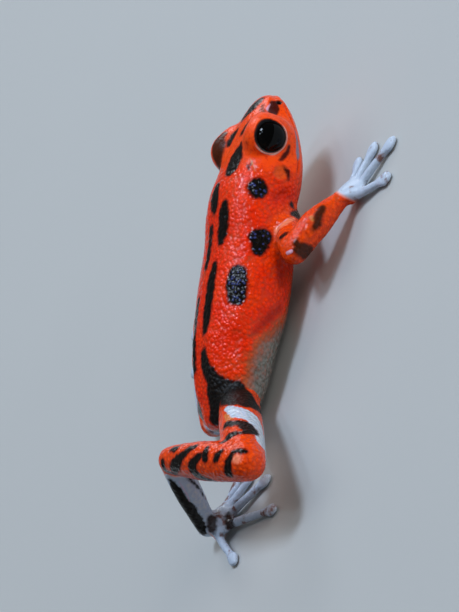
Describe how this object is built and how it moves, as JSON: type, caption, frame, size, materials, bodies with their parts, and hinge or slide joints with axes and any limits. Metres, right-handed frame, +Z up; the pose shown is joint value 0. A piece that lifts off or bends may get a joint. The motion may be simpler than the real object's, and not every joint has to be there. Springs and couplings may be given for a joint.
{
  "type": "strawberry poison dart frog",
  "caption": "Life-size still model of a strawberry poison dart frog, climbing with its head raised, for museum display.",
  "frame": {"origin": "middle of the bounding box on the floor plane, between the feet", "axes": "the frog faces -Y, its right side is at -X and +Z is up"},
  "size_m": [0.0216, 0.0284, 0.0062],
  "materials": {
    "red_skin": "moist granular skin, red with black spots",
    "limb_skin": "moist skin, orange red with black bands",
    "pale_skin": "smooth moist skin, pale grey with dark brown blotches",
    "eye": "wet glossy black"
  },
  "bodies": {
    "root": {"head": "red_skin", "torso": "red_skin", "right_eye": "eye", "right_upper_arm": "limb_skin", "right_forearm": "limb_skin", "right_thigh": "limb_skin", "right_shank": "limb_skin", "right_hand": "pale_skin", "right_tarsus": "pale_skin", "right_foot": "pale_skin", "right_finger_1": "pale_skin", "right_finger_2": "pale_skin", "right_finger_3": "pale_skin", "right_finger_4": "pale_skin", "right_toe_1": "pale_skin", "right_toe_2": "pale_skin", "right_toe_3": "pale_skin", "right_toe_4": "pale_skin", "right_toe_5": "pale_skin", "left_eye": "eye", "left_upper_arm": "limb_skin", "left_forearm": "limb_skin", "left_thigh": "limb_skin", "left_shank": "limb_skin", "left_hand": "pale_skin", "left_tarsus": "pale_skin", "left_foot": "pale_skin", "left_finger_1": "pale_skin", "left_finger_2": "pale_skin", "left_finger_3": "pale_skin", "left_finger_4": "pale_skin", "left_toe_1": "pale_skin", "left_toe_2": "pale_skin", "left_toe_3": "pale_skin", "left_toe_4": "pale_skin", "left_toe_5": "pale_skin"}
  },
  "joints": []
}
